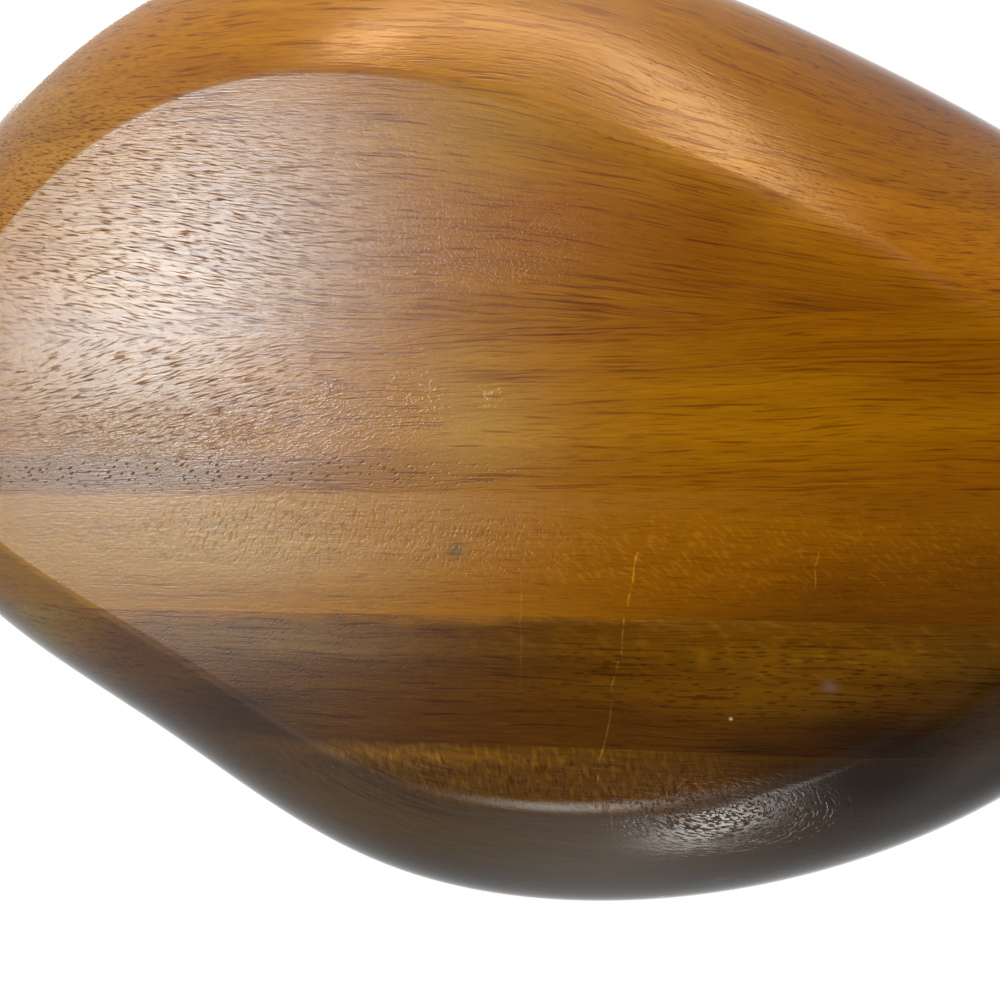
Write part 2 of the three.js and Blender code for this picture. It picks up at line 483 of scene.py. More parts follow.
def carveBlank(dish, wells):
    outline = outlinePoints(dish)
    inward = inwardDirections(outline)
    count = len(outline)
    mesh = bpy.data.meshes.new("dishBlank")
    ring = [(i, (i + 1) % count) for i in range(count)]
    mesh.from_pydata([(x, y, 0) for x, y in outline], ring, [])
    stored = mesh.attributes.new("inward", "FLOAT_VECTOR", "POINT")
    stored.data.foreach_set("vector", np.column_stack([inward, np.zeros(count)]).ravel())
    rail = newObject("dishBlank", mesh)
    cutter = wellCutter(outline, dish, wells)
    blank = bakeTree(rail, carvedBlankTree(), {
        "Height": dish["height"], "Rings per part": dish["ringsPerPart"],
        "Side reach": dish["sideReach"], "Side swell": dish["sideSwell"],
        "Swell turn": dish["swellTurn"], "Foot round": dish["footRound"],
        "Foot swell": dish["footSwell"], "Foot turn": dish["footTurn"],
        "Foot slope": dish["footSlope"], "Side fullness": dish["sideFullness"],
        "Side upright": dish["sideUpright"], "Rim rise": dish["rimRise"],
        "Rim round": dish["rimRound"], "Wells": cutter,
    })
    for spent in (rail, cutter):
        bpy.data.objects.remove(spent)
    return blank


blank = carveBlank(dishShape, wellShape)
print("blank carved:", len(blank.polygons), "faces")


# Wood: streaks, vessel lines and bands follow a flow that bends across each board.
# Places and reaches are in millimetres, seen from beneath with +Y down the page.
grainSet = {"wander": 2.4, "wanderSpan": (70, 24, 30), "ripple": 0.5,
            "rippleSpan": (17, 6, 7)}
spotGain = 1.4  # a soft spot is full over its middle
leftFan = {"kind": "fan", "amount": 0.6, "middle": (-40, -31), "reach": (80, 26)}
frontArch = {"kind": "arch", "amount": 55, "middle": (150, -84), "reach": (95, 60)}
rearSwirl = {"kind": "arch", "amount": -20, "middle": (-60, 70), "reach": (38, 60)}


def bell(distance, power=2):
    return distance.math("EXPONENT", abs(distance) ** power * -1)


def softSpot(x, y, spot):
    across = (x - spot[0]) / spot[2]
    along = (y - spot[1]) / spot[3]
    return x.math("EXPONENT", (across * across + along * along) * -1)


def spotsMask(x, y, spots):
    region = 0
    for spot in spots:
        region = softSpot(x, y, spot) + region
    return (region * spotGain).held()


def noise(sheet, place, span, detail=1.0):
    vector = sheet.join(*(coordinate / size for coordinate, size in zip(place, span)))
    sockets = {"Vector": vector, "Scale": 1, "Detail": detail}
    return sheet.add("ShaderNodeTexNoise", {}, sockets)


# Noise that swings by up to a half to either side of zero
def sway(sheet, place, span, detail=1.0):
    return noise(sheet, place, span, detail) - 0.5


# Position across the growth layers, in millimetres
def grainFlow(sheet, x, y, z, bends):
    flow = y
    for bend in bends:
        middle, reach = bend["middle"], bend["reach"]
        if bend["kind"] == "arch":
            drop = bell((x - middle[0]) / reach[0]) * bend["amount"]
            flow = flow - drop * bell((y - middle[1]).above(0) / reach[1])
        else:
            spread = ((middle[0] - x) / reach[0]).held() * bend["amount"]
            away = y - middle[1]
            flow = flow - spread * away * bell(away / reach[1])
    wander = sway(sheet, (x, y, z), grainSet["wanderSpan"])
    ripple = sway(sheet, (x, y, z), grainSet["rippleSpan"])
    return flow + wander * (2 * grainSet["wander"]) + ripple * (2 * grainSet["ripple"])


# Where marks lie: along the flow, turned from it, or in rings round a knot
def markPlace(x, y, flow, z, marks):
    if "around" in marks:
        centre, squeeze = marks["around"], marks["squeeze"]
        out, down = x - centre[0], (y - centre[1]) * squeeze
        radius = (out * out + down * down) ** 0.5
        return (out.math("ARCTAN2", down, out) * marks["knot"], radius, z)
    if "turn" in marks:
        turn = math.radians(marks["turn"])
        bent = y + (flow - y) * 0.5  # turned marks follow the flow halfway
        along = x * math.cos(turn) + bent * math.sin(turn)
        return (along, bent * math.cos(turn) - x * math.sin(turn), z)
    return (x, flow, z)


poreSet = {"smallest": 0.45, "softEdge": 0.6, "chanceGain": 8}


# Marks of one kind as a mask: lines, wrinkles or open pores
def markMask(sheet, x, y, flow, z, marks):
    place = markPlace(x, y, flow, z, marks)
    if marks["kind"] == "pores":
        vector = sheet.join(place[0] / marks["span"][0], place[1] / marks["span"][1], 0)
        settings = {"voronoi_dimensions": "2D", "feature": "F1"}
        cells = sheet.add("ShaderNodeTexVoronoi", settings, {"Vector": vector, "Scale": 1})
        chance = sheet.add("ShaderNodeSeparateColor", {}, {0: cells.of("Color")})
        radius = marks["width"] * (poreSet["smallest"] + chance.of("Green"))
        mask = ((radius - cells.of("Distance")) / (radius * poreSet["softEdge"])).held()
        mask = mask * ((marks["share"] - chance) * poreSet["chanceGain"]).held()
    elif marks["kind"] == "wrinkles":
        level = noise(sheet, place, marks["span"], 2)
        mask = (1 - abs(level - 0.5) / marks["width"]).held()
    else:
        mask = ((noise(sheet, place, marks["span"]) - marks["cut"]) * marks["gain"]).held()
    if "spots" in marks:
        mask = mask * spotsMask(x, y, marks["spots"])
    return mask


# A neighbour's colour that runs over a joint with a wavy edge
def bleedMask(sheet, x, y, z, bleed):
    wobble = sway(sheet, (x, y, z), bleed["span"], 3) * (2 * bleed["wobble"])
    mask = ((bleed["level"] + wobble - y) / bleed["soft"]).held()
    return mask * spotsMask(x, y, bleed["spots"])


scratchSet = {"wobble": 3, "wobbleSpan": (9, 9, 9), "fade": 2,
              "breakSpan": (3, 3, 3), "breakCut": 0.36, "breakGain": 5}


# A scratch or a hair as a soft line that breaks up along its run
def scratchMask(sheet, x, y, z, scratch):
    start, end = Vector(scratch["from"]), Vector(scratch["to"])
    run = (end - start).length
    along = (end - start) / run
    reached = (x - start.x) * along.x + (y - start.y) * along.y
    wobble = sway(sheet, (x, y, z), scratchSet["wobbleSpan"]) * scratchSet["wobble"]
    away = (y - start.y) * along.x - (x - start.x) * along.y + wobble
    fade = scratchSet["fade"]
    ends = (reached / fade).held() * ((run - reached) / fade).held()
    broken = noise(sheet, (x, y, z), scratchSet["breakSpan"], 2) - scratchSet["breakCut"]
    broken = (broken * scratchSet["breakGain"]).held()
    return bell(away / scratch["width"]) * ends * broken


def tinted(sheet, colour, mask, change):
    factor = sheet.join(*(1 + mask * part for part in change))
    return sheet.vector("MULTIPLY", colour, factor)


def shaded(sheet, colour, mask, shade):
    sockets = {0: mask, 4: colour, 5: shade}
    return sheet.add("ShaderNodeMix", {"data_type": "VECTOR"}, sockets, 1)


# Dark marks lose green and blue a little faster than red
def darker(amount):
    return (-amount, -amount * 1.15, -amount * 1.3)


# Marks that several boards share
fineLines = {"kind": "lines", "span": (8, 0.48, 0.8), "cut": 0.55, "gain": 6,
             "change": darker(0.26), "relief": -0.5}
softLines = {**fineLines, "relief": -0.2}
longLines = {"kind": "lines", "span": (24, 0.85, 1.4), "cut": 0.60, "gain": 12,
             "change": (-0.34, -0.46, -0.5), "relief": -0.5}
dashesDown = {"kind": "lines", "turn": 9, "span": (4.6, 0.40, 0.9), "cut": 0.56, "gain": 9,
              "change": darker(0.6), "relief": -1.0, "spots": [(-86, -60, 54, 30)]}
dashesUp = {"kind": "lines", "turn": -11, "span": (4.8, 0.45, 0.9), "cut": 0.57, "gain": 9,
            "change": darker(0.5), "relief": -1.2, "spots": [(-82, -14, 50, 15)]}
skinDimples = {"kind": "lines", "span": (1.3, 0.9, 1.0), "cut": 0.5, "gain": 2,
               "change": darker(0.05), "relief": -0.6}
edgeDashes = {"kind": "pores", "turn": 14, "span": (4.2, 1.1), "width": 0.19, "share": 0.4,
              "change": darker(0.36), "relief": -0.5, "spots": [(95, -75, 75, 32)]}
edgeDots = {"kind": "pores", "turn": 20, "span": (2.2, 0.9), "width": 0.2, "share": 0.6,
            "change": darker(0.25), "relief": -0.4, "spots": [(-128, -98, 36, 30)]}

boardFinishes = {
    "front_edge_board": {
        "slot": "orange_brown_wood",
        "base": (0.330, 0.123, 0.002),
        "tones": {"fibre": 0.22, "streak": 0.22, "band": 0.28},
        "bends": [frontArch, leftFan],
        "regions": [
            ((-42, -58, 36, 30), (0.290, 0.110, 0.003), 0.9),
            ((-97, -62, 30, 26), (0.400, 0.176, 0.011), 1.0),
            ((0, -122, 230, 24), (0.381, 0.151, 0.009), 1.0),
            ((-112, -90, 22, 16), (0.310, 0.140, 0.012), 0.9),
            ((24, -56, 26, 13), (0.295, 0.095, 0.003), 0.9),
            ((66, -48, 26, 14), (0.245, 0.074, 0.001), 1.0),
            ((96, -30, 32, 8), (0.250, 0.078, 0.001), 1.0),
            ((114, -82, 40, 30), (0.238, 0.077, 0.004), 1.0),
            # Painted highlight: brighter spots along the front foot edge, where the key light's
            # highlight band falls
            ((54, -66, 14, 6), (0.400, 0.160, 0.004), 0.8),
            ((70, -62, 14, 6), (0.410, 0.160, 0.004), 0.8),
            ((89, -52, 14, 6), (0.460, 0.185, 0.010), 1.0),
            ((113, -45, 19, 9), (0.380, 0.134, 0.003), 0.95),
            ((125, -37, 10, 7), (0.400, 0.140, 0.003), 0.9),
            ((38, -75, 40, 8), (0.330, 0.128, 0.003), 0.6),
            ((12, -75, 24, 12), (0.360, 0.162, 0.006), 0.9),
            # Painted shade: a darker strip above the left foot edge, below where the highlight
            # band starts
            ((-58, -94, 22, 5), (0.300, 0.110, 0.006), 0.8),
        ],
        "marks": [fineLines, longLines, dashesDown, edgeDashes, edgeDots, skinDimples, {
            "kind": "wrinkles", "span": (1.4, 1.0, 1.2), "width": 0.07,
            "change": (0.07, 0.01, 0.0), "relief": 0.55, "spots": [(14, -50, 26, 13)],
        }, {
            "kind": "lines", "span": (26, 0.8, 1.4), "cut": 0.54, "gain": 11,
            "change": (-0.30, -0.42, -0.5), "relief": -0.5, "spots": [(40, -34, 90, 5)],
        }],
    },
    "front_centre_board": {
        "slot": "golden_brown_wood",
        "base": (0.362, 0.138, 0.001),
        "tones": {"fibre": 0.22, "streak": 0.22, "band": 0.28},
        "bends": [leftFan],
        "regions": [
            ((-100, -10, 40, 16), (0.345, 0.150, 0.012), 1.0),
            ((-88, 6, 72, 5.5), (0.248, 0.097, 0.011), 1.0),
            ((-110, 5, 40, 6), (0.205, 0.076, 0.009), 0.8),
            ((60, -28, 60, 4), (0.246, 0.076, 0.002), 0.7),
            ((98, -28, 34, 4), (0.280, 0.092, 0.001), 1.0),
            ((96, -22, 50, 5), (0.262, 0.083, 0.001), 0.8),
            ((112, 7, 30, 5), (0.285, 0.097, 0.001), 0.6),
            ((120, -15, 24, 7), (0.250, 0.082, 0.001), 0.9),
            # Painted reflection: a lighter patch where the bruised, wavy surface catches more
            # of the window's sheen
            ((6, -6, 20, 16), (0.440, 0.220, 0.030), 0.9),
            ((124, 9, 24, 10), (0.270, 0.088, 0.001), 1.0),
            ((-33, -14.5, 2.2, 1.7), (0.220, 0.090, 0.020), 0.6),
            ((-58, -3, 3.5, 2.5), (0.270, 0.110, 0.020), 0.5),
            ((60, 8, 50, 3.5), (0.270, 0.090, 0.002), 0.6),
        ],
        "marks": [fineLines, longLines, dashesUp, skinDimples, {
            "kind": "lines", "span": (26, 0.8, 1.4), "cut": 0.54, "gain": 11,
            "change": (-0.32, -0.46, -0.5), "relief": -0.5,
            "spots": [(60, -18, 70, 3), (45, 8.5, 75, 3), (10, -27, 60, 2.5)],
        }, {
            "kind": "pores", "turn": -30, "span": (3.0, 1.4), "width": 0.21, "share": 0.8,
            "change": darker(0.55), "relief": -1.6, "spots": [(-74, 5.5, 80, 4)],
        }, {
            "kind": "wrinkles", "turn": -25, "span": (3.4, 1.5, 1.5), "width": 0.07,
            "change": (0.05, 0.05, 0.05), "relief": 1.0, "spots": [(-75, -5, 55, 8)],
        }, {
            # Dents: their relief is real, and the bluish lightening on them is painted glint
            "kind": "wrinkles", "span": (4.2, 3.0, 2), "width": 0.03,
            "change": (0.25, 0.32, 0.6), "relief": 1.4,
            "spots": [(-58, -4, 5, 4), (-33, -14, 4, 3), (-11, -12, 6, 6), (9, -12, 3, 3)],
        }],
    },
    "pale_centre_board": {
        "slot": "pale_tan_wood",
        "base": (0.373, 0.138, 0.002),
        "tones": {"fibre": 0.16, "streak": 0.18, "band": 0.22},
        "bends": [],
        "bleeds": [{"level": 11.8, "span": (26, 5, 6), "wobble": 3.4, "soft": 2.0,
                    "shade": (0.275, 0.110, 0.014), "spots": [(-86, 12, 50, 30)]}],
        "regions": [
            ((-60, 14, 120, 2.6), (0.450, 0.206, 0.034), 0.9),
            ((-110, 26, 75, 24), (0.405, 0.196, 0.028), 1.0),
            ((-52, 23, 40, 13), (0.455, 0.268, 0.098), 1.0),
            ((-18, 18, 34, 9), (0.430, 0.205, 0.045), 0.9),
            ((124, 34, 30, 20), (0.145, 0.045, 0.001), 1.0),
            ((60, 24, 50, 20), (0.325, 0.112, 0.001), 0.8),
            ((92, 34, 26, 9), (0.160, 0.048, 0.001), 0.9),
            ((108, 14, 30, 9), (0.235, 0.078, 0.001), 0.8),
            ((52, 33, 26, 9), (0.280, 0.090, 0.001), 0.7),
            ((96, 44, 56, 7), (0.125, 0.040, 0.001), 1.0),
            ((-2.8, 25.4, 2.4, 2.0), (0.160, 0.110, 0.040), 0.7),
        ],
        "marks": [softLines, skinDimples, {
            "kind": "wrinkles", "turn": -20, "span": (3.2, 1.8, 2), "width": 0.16,
            "change": (0.04, 0.04, 0.04), "relief": 0.45, "spots": [(-70, 24, 75, 16)],
        }, {
            "kind": "lines", "turn": 40, "span": (2.6, 0.9, 1.5), "cut": 0.53, "gain": 7,
            "change": (0.26, 0.36, 0.5), "relief": 0.9, "spots": [(75, 27, 75, 10)],
        }, {
            "kind": "lines", "turn": -62, "span": (2.4, 1.0, 1.6), "cut": 0.52, "gain": 6,
            "change": (-0.10, -0.14, -0.16), "relief": -1.0, "spots": [(-38, 21, 52, 9)],
        }, {
            "kind": "pores", "turn": -80, "span": (2.6, 1.5), "width": 0.3, "share": 0.8,
            "change": darker(0.16), "relief": -0.9, "spots": [(5, 24, 26, 7)],
        }, {
            "kind": "lines", "span": (26, 1.0, 2), "cut": 0.55, "gain": 8,
            "change": (-0.20, -0.20, -0.3), "relief": -0.3, "spots": [(-65, 38, 55, 4)],
        }],
    },
    "rear_centre_board": {
        "slot": "purple_brown_wood",
        "base": (0.108, 0.038, 0.001),
        "tones": {"fibre": 0.22, "streak": 0.30, "band": 0.45},
        "bends": [],
        "bleeds": [{"level": 45.2, "span": (22, 9, 9), "wobble": 6, "soft": 3,
                    "shade": (0.300, 0.118, 0.012), "spots": [(-50, 42, 90, 30)]}],
        "regions": [
            ((-95, 50, 46, 16), (0.187, 0.070, 0.015), 1.0),
            ((-118, 50, 15, 13), (0.320, 0.140, 0.008), 1.0),
            ((-131, 46, 13, 12), (0.430, 0.250, 0.030), 1.0),
            ((-54, 49, 40, 8), (0.228, 0.120, 0.045), 0.9),
            ((-66, 69, 20, 8), (0.056, 0.021, 0.003), 0.9),
            ((66, 46, 60, 7), (0.165, 0.061, 0.001), 1.0),
            ((108, 50, 16, 5), (0.190, 0.072, 0.002), 0.8),
            ((76, 55, 18, 8), (0.190, 0.076, 0.002), 0.9),
            ((46, 58, 24, 5), (0.152, 0.057, 0.001), 0.8),
            ((80, 61, 24, 8), (0.185, 0.072, 0.002), 0.9),
            ((122, 60, 14, 16), (0.092, 0.040, 0.004), 1.0),
            # Darker grain deepened into painted shade where the lower-right foot edge turns
            # away from the light
            ((98, 71, 26, 10), (0.024, 0.009, 0.002), 1.0),
            ((72, 74, 14, 4.5), (0.034, 0.012, 0.002), 0.8),
            ((25, 70, 40, 4.5), (0.100, 0.032, 0.002), 0.9),
            ((88, 57.5, 1.7, 1.5), (0.200, 0.140, 0.110), 0.5),
            ((64.3, 66.3, 0.36, 0.36), (0.700, 0.600, 0.450), 1.0),
        ],
        "marks": [softLines, {**longLines, "relief": -0.2}, skinDimples, {
            "kind": "pores", "turn": -35, "span": (3.0, 1.2), "width": 0.24, "share": 0.8,
            "change": darker(0.28), "relief": -0.35, "spots": [(-75, 50, 75, 16)],
        }, {
            "kind": "pores", "turn": -3, "span": (5.6, 1.25), "width": 0.26, "share": 0.85,
            "change": darker(0.45), "relief": -0.3, "spots": [(68, 57, 62, 11)],
        }, {
            "kind": "lines", "turn": 20, "span": (5, 2.2, 3), "cut": 0.5, "gain": 4,
            "change": (0.35, 0.45, 0.3), "relief": 0.1, "spots": [(70, 48, 70, 8)],
        }, {
            "kind": "lines", "turn": 8, "span": (16, 1.2, 2), "cut": 0.52, "gain": 6,
            "change": (0.22, 0.15, 0.1), "relief": 0.3, "spots": [(0, 66, 70, 8)],
        }],
    },
    "rear_edge_board": {
        "slot": "mottled_brown_wood",
        "base": (0.112, 0.045, 0.002),
        "tones": {"fibre": 0.22, "streak": 0.30, "band": 0.4},
        "bends": [rearSwirl],
        "bleeds": [{"level": 76.4, "span": (14, 6, 6), "wobble": 2.6, "soft": 1.1,
                    "shade": (0.085, 0.031, 0.003), "spots": [(-50, 75, 60, 30)]}],
        "regions": [
            ((-16, 79, 34, 2.0), (0.290, 0.125, 0.008), 1.0),
            ((-24, 86, 18, 6), (0.080, 0.034, 0.003), 0.8),
            ((34, 84, 48, 8), (0.130, 0.048, 0.004), 1.0),
            ((24, 75, 40, 2.4), (0.200, 0.084, 0.004), 0.8),
            # Darker grain deepened into painted shade where the lower-right foot edge turns
            # away from the light
            ((96, 83, 34, 13), (0.020, 0.008, 0.002), 1.0),
            ((0, 124, 240, 26), (0.080, 0.042, 0.008), 1.0),
            ((-36, 100, 46, 18), (0.150, 0.072, 0.010), 0.9),
            ((26, 114, 50, 12), (0.140, 0.068, 0.012), 1.0),
        ],
        "marks": [{**fineLines, "relief": -0.35}, skinDimples, {
            "kind": "lines", "turn": 80, "span": (3.6, 1.5, 2), "cut": 0.5, "gain": 6,
            "change": (0.5, 0.55, 0.5), "relief": 0.4, "spots": [(12, 82, 62, 8)],
        }, {
            "kind": "lines", "turn": 82, "span": (2.8, 1.1, 1.6), "cut": 0.54, "gain": 6,
            "change": darker(0.42), "relief": -0.5, "spots": [(15, 83, 70, 8)],
        }, {
            "kind": "lines", "around": (0, 50), "squeeze": 1.3, "knot": 50,
            "span": (20, 1.3, 1), "cut": 0.53, "gain": 7, "change": darker(0.42),
            "relief": -0.3, "spots": [(-24, 88, 26, 9)],
        }, {
            "kind": "lines", "around": (60, 89), "squeeze": 1.8, "knot": 40,
            "span": (7, 1.0, 1), "cut": 0.5, "gain": 6, "change": (-0.15, -0.18, -0.2),
            "relief": -3.5, "spots": [(60, 92, 24, 8)],
        }],
    },
}
layerSpans = {"fibre": (7, 0.5, 0.7), "streak": (55, 1.1, 1.6), "band": (240, 6.5, 12)}
layerTint = (0.85, 1.1, 1.3)
glossSet = {"roughness": 0.13, "ior": 1.55, "poreRoughness": 0.2, "poreShare": 0.6,
            "relief": 0.02 * mm, "fibreRelief": 0.8, "fibreWear": 0.1, "wornBelow": -0.9}
glueLines = [-30 * mm, 11 * mm, 42 * mm, 75 * mm]
glueSet = {"width": 0.25, "change": darker(0.07)}
scratches = {
    "longScratch": {"from": (43.3, 25.1), "to": (30.2, 84.4), "width": 0.22,
                    "change": (1.0, 1.5, 5)},
    "shortScratch": {"from": (87.2, 24.9), "to": (84.6, 34.4), "width": 0.18,
                     "change": (0.9, 1.3, 4)},
    "faintScratch": {"from": (13.5, 32), "to": (12.5, 62), "width": 0.16,
                     "change": (0.5, 0.7, 1.5)},
    "firstHair": {"from": (-101.4, -43.5), "to": (-85, -48.6), "width": 0.2,
                  "change": darker(0.6)},
    "secondHair": {"from": (-115.8, -21.9), "to": (-106.3, -26.9), "width": 0.2,
                   "change": darker(0.6)},
}


def woodFinish(finish, front, rear):
    material = bpy.data.materials.new(finish["slot"])
    material.use_nodes = True
    sheet = Sheet(material.node_tree)
    place = sheet.add("ShaderNodeTexCoord").of("Object")
    place = sheet.vector("SCALE", place, Scale=mmPerMetre)
    place = sheet.add("ShaderNodeSeparateXYZ", {}, {0: place})
    x, y, z = place, place.of("Y"), place.of("Z")
    flow = grainFlow(sheet, x, y, z, finish["bends"])

    colour = finish["base"]
    # Soft spots of colour: mostly the wood's own tones, with a few painted highlights and
    # painted shade among them
    for spot, shade, amount in finish["regions"]:
        colour = shaded(sheet, colour, softSpot(x, y, spot) * amount, shade)
    for bleed in finish.get("bleeds", []):
        colour = shaded(sheet, colour, bleedMask(sheet, x, y, z, bleed), bleed["shade"])
    layers = {}
    for name, span in layerSpans.items():
        layers[name] = sway(sheet, (x, flow, z), span, 2)
    tone = sum(layers[name] * amount for name, amount in finish["tones"].items())
    colour = tinted(sheet, colour, tone * 2, layerTint)

    # Open marks wear the lacquer thin: there the wood is rougher and partly bare
    relief = layers["fibre"] * glossSet["fibreRelief"]
    worn = layers["fibre"] * glossSet["fibreWear"]
    for marks in finish["marks"]:
        mask = markMask(sheet, x, y, flow, z, marks)
        colour = tinted(sheet, colour, mask, marks["change"])
        relief = relief + mask * marks["relief"]
        if marks["relief"] < glossSet["wornBelow"]:
            worn = mask + worn
    for line in glueLines:
        seam = bell((y - line * mmPerMetre) / glueSet["width"])
        colour = tinted(sheet, colour, seam, glueSet["change"])
    for scratch in scratches.values():
        nearest, furthest = sorted((scratch["from"][1], scratch["to"][1]))
        if furthest > front * mmPerMetre and nearest < rear * mmPerMetre:
            mask = scratchMask(sheet, x, y, z, scratch)
            colour = tinted(sheet, colour, mask, scratch["change"])
            worn = mask + worn if scratch["change"][0] < 0 else worn
    bump = sheet.add("ShaderNodeBump", {}, {
        "Strength": 1, "Distance": glossSet["relief"], "Height": relief,
    })
    shader = sheet.add("ShaderNodeBsdfPrincipled", {}, {
        "Base Color": colour, "IOR": glossSet["ior"], "Normal": bump,
        "Roughness": worn.held() * glossSet["poreRoughness"] + glossSet["roughness"],
    })
    openWood = sheet.add("ShaderNodeBsdfPrincipled", {}, {
        "Base Color": colour, "Roughness": 1, "Specular IOR Level": 0,
    })
    shader = sheet.add("ShaderNodeMixShader", {}, {
        0: worn.held() * glossSet["poreShare"], 1: shader, 2: openWood,
    })
    sheet.add("ShaderNodeOutputMaterial", {}, {"Surface": shader})
    return material


# Boards of the blank, front to rear, in the order of the glue lines. The stock that
# each is cut with reaches past the blank in length and in height.
edges = [-dishShape["width"], *glueLines, dishShape["width"]]
sawing = boardTree()
for i, (name, finish) in enumerate(boardFinishes.items()):
    board = newObject(name + "_piece", blank.copy())
    material = woodFinish(finish, edges[i], edges[i + 1])
    mesh = bakeTree(board, sawing, {
        "Front": edges[i], "Rear": edges[i + 1], "Finish": material,
        "Stock length": 2 * dishShape["length"], "Stock height": 4 * dishShape["height"],
    })
    board.data = mesh
    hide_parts(name)
    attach(board, "root")
    print("board sawn:", name, len(mesh.polygons), "faces")


# Lamps, floor and room
def aim(thing, place, target=(0, 0, 0)):
    thing.location = Vector(place)
    thing.rotation_euler = (Vector(target) - Vector(place)).to_track_quat("-Z", "Y").to_euler()


# keyLamp lights the underside from the front, and topLamp the wells
lamps = {
    "keyLamp": {"from": (-0.12, -0.7, -0.7), "distance": 0.9, "size": (0.7, 0.35), "power": 9.6,
                "tint": (1, 0.95, 0.88), "gloss": False},
    "topLamp": {"from": (-0.5, -0.5, 1), "distance": 1.3, "size": (0.8, 0.8), "power": 14,
                "tint": (1, 0.98, 0.95), "gloss": True},
}
for name, settings in lamps.items():
    light = bpy.data.lights.new(name, "AREA")
    light.shape = "RECTANGLE"
    light.size, light.size_y = settings["size"]
    light.energy = settings["power"]
    light.color = settings["tint"]
    lamp = newObject(name, light)
    aim(lamp, Vector(settings["from"]).normalized() * settings["distance"])
    lamp.visible_camera = False
    lamp.visible_glossy = settings["gloss"]


worldSet = {"fill": (0.9, 0.95, 1, 1), "strength": 0.15, "white": (1, 1, 1, 1)}


# The camera, gloss and glass see white, and everything else a dim fill
def makeWorld():
    world = bpy.data.worlds.new("studio")
    world.use_nodes = True
    scene.world = world
    sheet = Sheet(world.node_tree)
    path = sheet.add("ShaderNodeLightPath")
    seen = path.of("Is Camera Ray") + path.of("Is Glossy Ray") + path.of("Is Transmission Ray")
    fill = sheet.add("ShaderNodeBackground", {}, {
        "Color": worldSet["fill"], "Strength": worldSet["strength"],
    })
    white = sheet.add("ShaderNodeBackground", {}, {"Color": worldSet["white"], "Strength": 1})
    mixed = sheet.add("ShaderNodeMixShader", {}, {0: seen.held(), 1: fill, 2: white})
    sheet.add("ShaderNodeOutputWorld", {}, {"Surface": mixed})


makeWorld()


# A stage piece lights nothing and casts no shadow, and only reflections see it
def dressStage(made, shader):
    material = bpy.data.materials.new(made.name)
    material.use_nodes = True
    sheet = Sheet(material.node_tree)
    sheet.add("ShaderNodeOutputMaterial", {}, {"Surface": shader(sheet)})
    material.cycles.emission_sampling = "NONE"
    made.data.materials.append(material)
    for ray in ("camera", "diffuse", "transmission", "shadow", "volume_scatter"):
        setattr(made, "visible_" + ray, False)


def stageSheet(name, size, place, target, shader):
    width, length = size[0] / 2, size[1] / 2
    mesh = bpy.data.meshes.new(name)
    corners = [(-width, -length), (width, -length), (width, length), (-width, length)]
    mesh.from_pydata([(x, y, 0) for x, y in corners], [], [(0, 1, 2, 3)])
    made = newObject(name, mesh)
    aim(made, place, target)
    dressStage(made, shader)
    return made


floorSet = {"size": (8, 8), "pale": (0.8, 0.8, 0.8, 1), "white": (1, 1, 1, 1),
            "fadeFrom": 0.5, "fadeOver": 1.0}


# Pale under the dish, white further out, and clear when seen from beneath
def paleFloor(sheet):
    geometry = sheet.add("ShaderNodeNewGeometry")
    away = sheet.vector("LENGTH", geometry.of("Position")).of("Value")
    fade = ((away - floorSet["fadeFrom"]) / floorSet["fadeOver"]).held()
    pale = sheet.add("ShaderNodeBsdfDiffuse", {}, {"Color": floorSet["pale"]})
    bright = sheet.add("ShaderNodeEmission", {}, {"Color": floorSet["white"], "Strength": 1})
    clear = sheet.add("ShaderNodeBsdfTransparent")
    surface = sheet.add("ShaderNodeMixShader", {}, {0: fade, 1: pale, 2: bright})
    sockets = {0: geometry.of("Backfacing"), 1: surface, 2: clear}
    return sheet.add("ShaderNodeMixShader", {}, sockets)


floor = stageSheet("paleFloor", floorSet["size"], (0, 0, 0), (0, 0, -1), paleFloor)
floor.visible_camera = True  # the camera sees the floor, and reflections see the room
floor.visible_glossy = False


